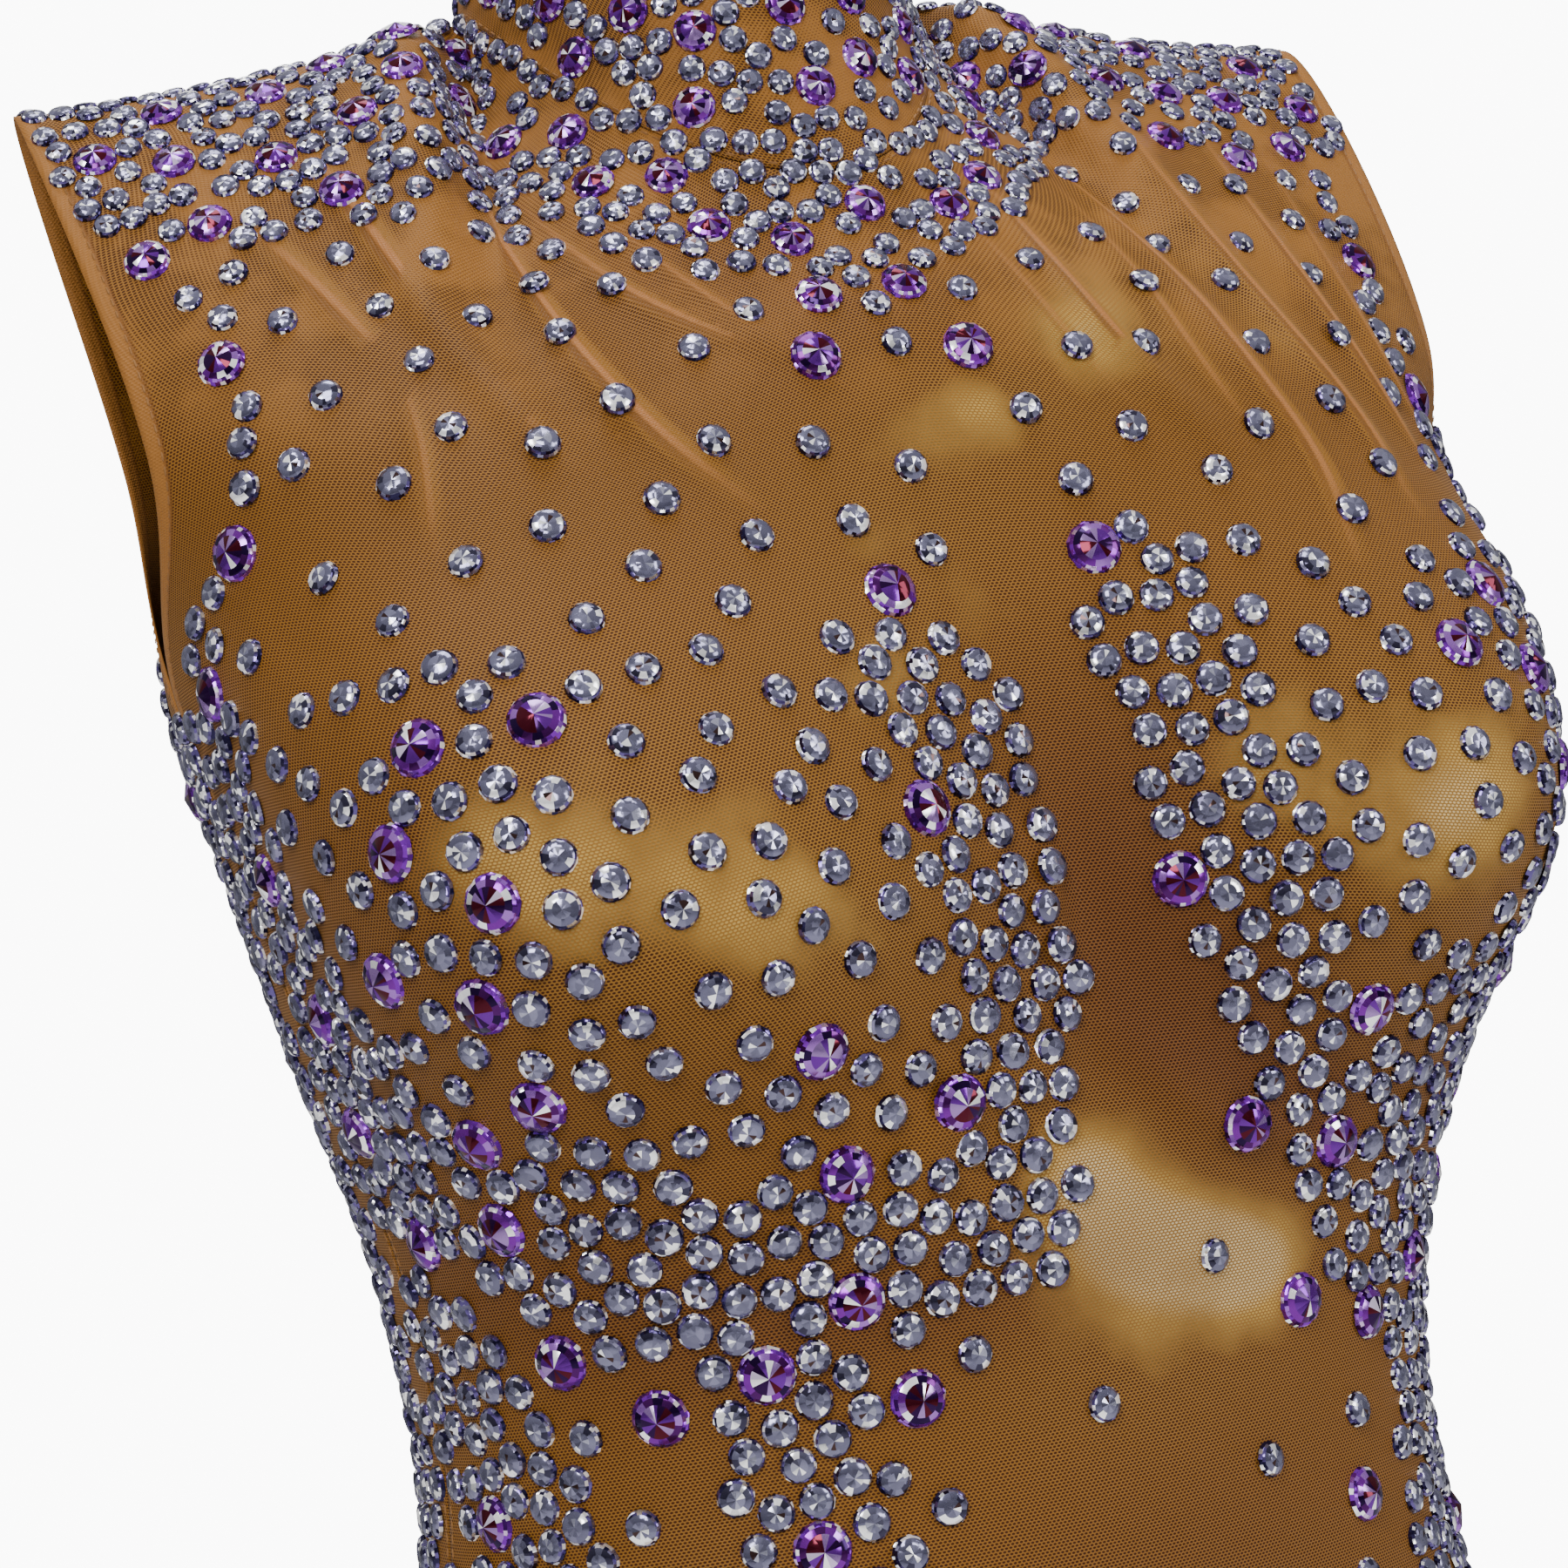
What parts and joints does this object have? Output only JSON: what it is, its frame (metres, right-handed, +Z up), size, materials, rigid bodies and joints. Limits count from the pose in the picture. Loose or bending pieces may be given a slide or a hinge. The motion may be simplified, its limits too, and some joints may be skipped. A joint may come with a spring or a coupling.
{
  "type": "mesh jumpsuit",
  "caption": "Sleeveless high-necked stage jumpsuit of stretch net with raised stones, worn hollow form, back zip with a hinged pull tab.",
  "frame": {"origin": "middle of the shoulder line, where the wearer's shoulders hold the garment up", "axes": "+Z up, the front faces -Y, the wearer's left is +X"},
  "size_m": [0.3614, 0.2671, 1.3884],
  "materials": {
    "stretch_net": "fine hexagonal stretch net, satin",
    "collar_net": "the same net under closely set stones",
    "zip_tape": "woven tape with moulded teeth",
    "zip_metal": "polished",
    "clear_stones": "faceted and foiled, pale lavender grey",
    "purple_stones": "faceted and foiled, violet"
  },
  "bodies": {
    "garment": {"front": "stretch_net", "back_left": "stretch_net", "back_right": "stretch_net", "collar": "collar_net", "leg_left": "stretch_net", "leg_right": "stretch_net", "zip_chain": "zip_tape", "zip_slider": "zip_metal"},
    "pull_tab": {"zip_pull_tab": "zip_metal"}
  },
  "joints": [
    {"name": "pull_tab_hinge", "type": "hinge", "parent": "garment", "child": "pull_tab", "pos_m": [-0.00968, 0.04694, 0.04435], "axis": [1, 0, 0], "range_deg": [0, 135]}
  ]
}
